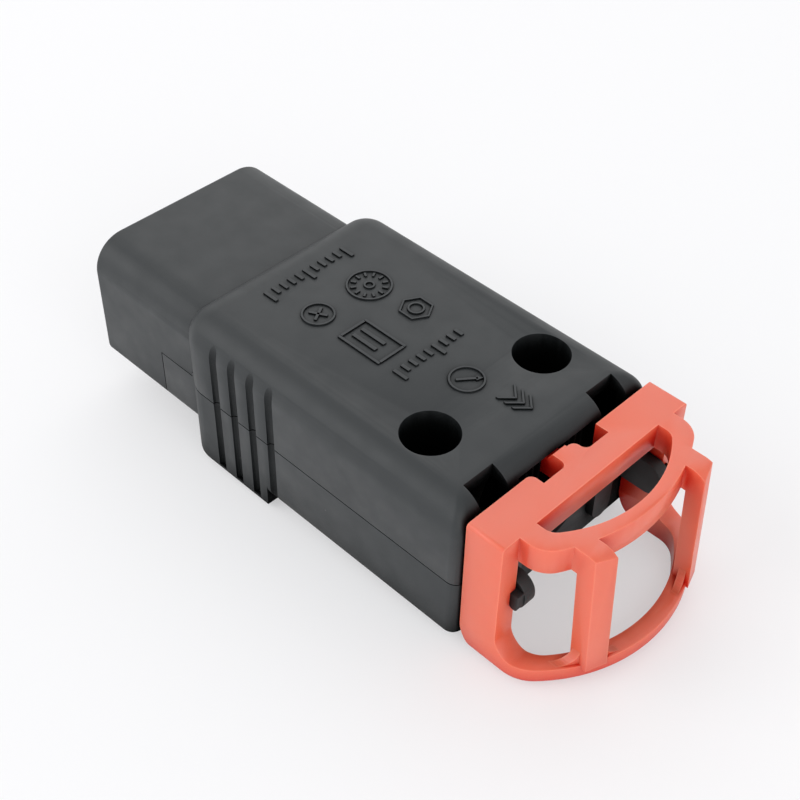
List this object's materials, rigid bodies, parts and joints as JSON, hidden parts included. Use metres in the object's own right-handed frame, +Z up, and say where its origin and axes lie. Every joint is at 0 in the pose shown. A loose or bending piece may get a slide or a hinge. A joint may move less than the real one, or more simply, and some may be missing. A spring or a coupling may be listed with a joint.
{
  "type": "c19 power connector",
  "caption": "Black high-current appliance power connector with a red pull-back release cage at the cable end.",
  "frame": {"origin": "centre of the mating face, on the axis of the nose", "axes": "+X from the mating face to the cable end, +Z up through the side with the rounded nose corners, +Y to the far side"},
  "size_m": [0.0809, 0.032, 0.0229],
  "materials": {
    "black_housing": "fine moulded texture",
    "red_slider": "satin moulded",
    "insulator": "satin moulded",
    "contact_brass": "stamped",
    "terminal_brass": "machined",
    "screw_steel": "zinc plated",
    "lock_steel": "stamped",
    "spring_steel": "drawn wire"
  },
  "bodies": {
    "housing": {"upper_shell": "black_housing", "lower_shell": "black_housing", "contact_carrier": "insulator", "line_contact": "contact_brass", "neutral_contact": "contact_brass", "earth_contact": "contact_brass", "line_terminal": "terminal_brass", "neutral_terminal": "terminal_brass", "earth_terminal": "terminal_brass", "terminal_screws": "screw_steel", "terminal_bench": "insulator", "case_screws": "screw_steel", "cord_clamp": "black_housing", "clamp_screws": "screw_steel", "lock_pivot_pin": "lock_steel", "near_spring": "spring_steel", "far_spring": "spring_steel"},
    "slider": {"release_slider": "red_slider", "pull_frame": "insulator"},
    "lever": {"lock_lever": "lock_steel"}
  },
  "joints": [
    {"name": "release_slide", "type": "slide", "parent": "housing", "child": "slider", "axis": [1, 0, 0], "range_m": [0, 0.0025], "stiffness_N_per_m": 400, "springref_m": -0.002},
    {"name": "lock_release", "type": "hinge", "parent": "housing", "child": "lever", "pos_m": [0.0246, 0, 0.0068], "axis": [0, -1, 0], "range_deg": [0, 11.5]}
  ],
  "couplings": [
    {"joint": "lock_release", "follows": "release_slide", "rad_per_m": 75.5}
  ]
}
